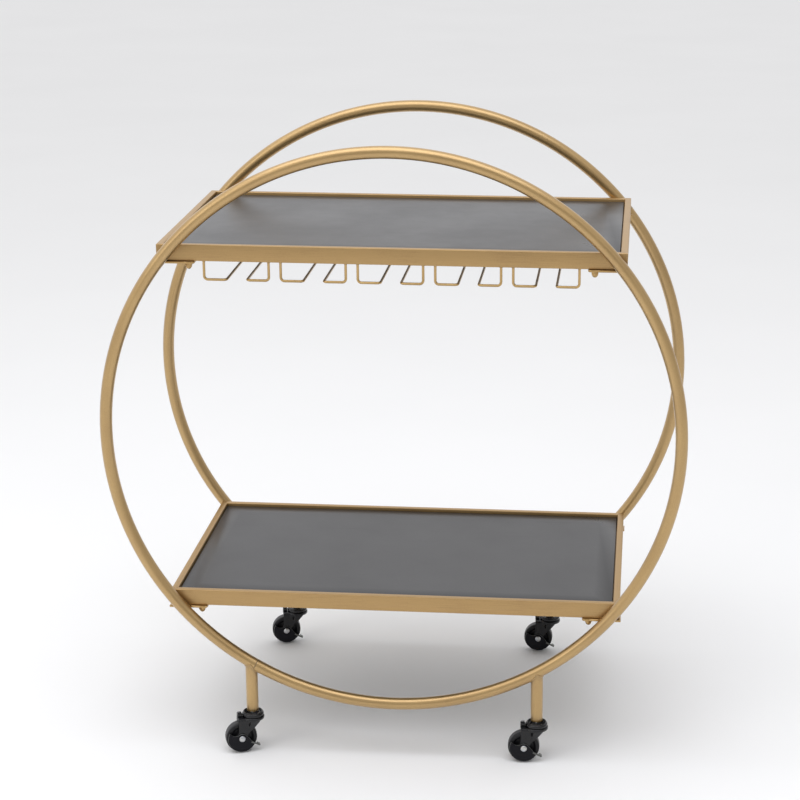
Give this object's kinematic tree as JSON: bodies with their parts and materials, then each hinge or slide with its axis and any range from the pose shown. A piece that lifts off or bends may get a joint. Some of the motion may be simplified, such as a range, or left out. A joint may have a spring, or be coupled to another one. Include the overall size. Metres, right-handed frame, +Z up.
{
  "type": "bar cart",
  "caption": "Round-frame bar cart: hoop sides, framed shelves, a wire rack for hanging wine glasses and swivel casters with brakes.",
  "frame": {"origin": "on the floor under the middle of the cart, midway between the two rings", "axes": "+X along the shelves to the right, +Y from the front ring to the back ring, +Z up"},
  "size_m": [0.899, 0.4726, 0.9773],
  "materials": {
    "satin_gold_paint": "satin champagne-gold powder coat on steel tube and plate",
    "satin_gold_wire": "satin champagne-gold powder coat on steel wire",
    "black_satin_board": "charcoal satin laminate on board",
    "black_lacquer_steel": "gloss black lacquer on pressed steel",
    "black_nylon": "satin moulded nylon",
    "bright_zinc": "bright zinc plate",
    "black_zinc_lever": "dark satin plate on pressed steel"
  },
  "bodies": {
    "frame": {"front_ring": "satin_gold_paint", "back_ring": "satin_gold_paint", "upper_shelf_frame": "satin_gold_paint", "upper_shelf_board": "black_satin_board", "upper_front_left_tab": "satin_gold_paint", "upper_front_left_cap_nut": "satin_gold_paint", "upper_front_right_tab": "satin_gold_paint", "upper_front_right_cap_nut": "satin_gold_paint", "upper_rear_left_tab": "satin_gold_paint", "upper_rear_left_cap_nut": "satin_gold_paint", "upper_rear_right_tab": "satin_gold_paint", "upper_rear_right_cap_nut": "satin_gold_paint", "lower_shelf_frame": "satin_gold_paint", "lower_shelf_board": "black_satin_board", "lower_front_left_tab": "satin_gold_paint", "lower_front_left_cap_nut": "satin_gold_paint", "lower_front_right_tab": "satin_gold_paint", "lower_front_right_cap_nut": "satin_gold_paint", "lower_rear_left_tab": "satin_gold_paint", "lower_rear_left_cap_nut": "satin_gold_paint", "lower_rear_right_tab": "satin_gold_paint", "lower_rear_right_cap_nut": "satin_gold_paint", "rack_wire_1_left": "satin_gold_wire", "rack_wire_1_right": "satin_gold_wire", "rack_wire_2_left": "satin_gold_wire", "rack_wire_2_right": "satin_gold_wire", "rack_wire_3_left": "satin_gold_wire", "rack_wire_3_right": "satin_gold_wire", "rack_wire_4_left": "satin_gold_wire", "rack_wire_4_right": "satin_gold_wire", "rack_wire_5_left": "satin_gold_wire", "rack_wire_5_right": "satin_gold_wire", "front_left_leg": "satin_gold_paint", "front_left_caster_stem": "bright_zinc", "front_left_bearing_cap": "black_lacquer_steel", "front_right_leg": "satin_gold_paint", "front_right_caster_stem": "bright_zinc", "front_right_bearing_cap": "black_lacquer_steel", "rear_left_leg": "satin_gold_paint", "rear_left_caster_stem": "bright_zinc", "rear_left_bearing_cap": "black_lacquer_steel", "rear_right_leg": "satin_gold_paint", "rear_right_caster_stem": "bright_zinc", "rear_right_bearing_cap": "black_lacquer_steel"},
    "front_left_swivel": {"front_left_fork": "black_lacquer_steel", "front_left_axle_rivet": "bright_zinc"},
    "front_left_wheel": {"front_left_wheel": "black_nylon"},
    "front_left_brake": {"front_left_brake_lever": "black_zinc_lever"},
    "front_right_swivel": {"front_right_fork": "black_lacquer_steel", "front_right_axle_rivet": "bright_zinc"},
    "front_right_wheel": {"front_right_wheel": "black_nylon"},
    "front_right_brake": {"front_right_brake_lever": "black_zinc_lever"},
    "rear_left_swivel": {"rear_left_fork": "black_lacquer_steel", "rear_left_axle_rivet": "bright_zinc"},
    "rear_left_wheel": {"rear_left_wheel": "black_nylon"},
    "rear_left_brake": {"rear_left_brake_lever": "black_zinc_lever"},
    "rear_right_swivel": {"rear_right_fork": "black_lacquer_steel", "rear_right_axle_rivet": "bright_zinc"},
    "rear_right_wheel": {"rear_right_wheel": "black_nylon"},
    "rear_right_brake": {"rear_right_brake_lever": "black_zinc_lever"}
  },
  "joints": [
    {"name": "front_left_swivel_turn", "type": "hinge", "parent": "frame", "child": "front_left_swivel", "pos_m": [-0.2262, -0.21375, 0.06], "axis": [0, 0, 1], "continuous": true},
    {"name": "front_left_wheel_roll", "type": "hinge", "parent": "front_left_swivel", "child": "front_left_wheel", "pos_m": [-0.24499, -0.22059, 0.025], "axis": [-0.342, 0.9397, 0], "continuous": true},
    {"name": "front_left_brake_press", "type": "hinge", "parent": "front_left_swivel", "child": "front_left_brake", "pos_m": [-0.24499, -0.22059, 0.025], "axis": [0.342, -0.9397, 0], "range_deg": [0, 15]},
    {"name": "front_right_swivel_turn", "type": "hinge", "parent": "frame", "child": "front_right_swivel", "pos_m": [0.2262, -0.21375, 0.06], "axis": [0, 0, 1], "continuous": true},
    {"name": "front_right_wheel_roll", "type": "hinge", "parent": "front_right_swivel", "child": "front_right_wheel", "pos_m": [0.20625, -0.21515, 0.025], "axis": [-0.0698, 0.9976, 0], "continuous": true},
    {"name": "front_right_brake_press", "type": "hinge", "parent": "front_right_swivel", "child": "front_right_brake", "pos_m": [0.20625, -0.21515, 0.025], "axis": [0.0698, -0.9976, 0], "range_deg": [0, 15]},
    {"name": "rear_left_swivel_turn", "type": "hinge", "parent": "frame", "child": "rear_left_swivel", "pos_m": [-0.2262, 0.21375, 0.06], "axis": [0, 0, 1], "continuous": true},
    {"name": "rear_left_wheel_roll", "type": "hinge", "parent": "rear_left_swivel", "child": "rear_left_wheel", "pos_m": [-0.24583, 0.20993, 0.025], "axis": [-0.1908, 0.9816, 0], "continuous": true},
    {"name": "rear_left_brake_press", "type": "hinge", "parent": "rear_left_swivel", "child": "rear_left_brake", "pos_m": [-0.24583, 0.20993, 0.025], "axis": [0.1908, -0.9816, 0], "range_deg": [0, 15]},
    {"name": "rear_right_swivel_turn", "type": "hinge", "parent": "frame", "child": "rear_right_swivel", "pos_m": [0.2262, 0.21375, 0.06], "axis": [0, 0, 1], "continuous": true},
    {"name": "rear_right_wheel_roll", "type": "hinge", "parent": "rear_right_swivel", "child": "rear_right_wheel", "pos_m": [0.2062, 0.21375, 0.025], "axis": [0, 1, 0], "continuous": true},
    {"name": "rear_right_brake_press", "type": "hinge", "parent": "rear_right_swivel", "child": "rear_right_brake", "pos_m": [0.2062, 0.21375, 0.025], "axis": [0, -1, 0], "range_deg": [0, 15]}
  ]
}
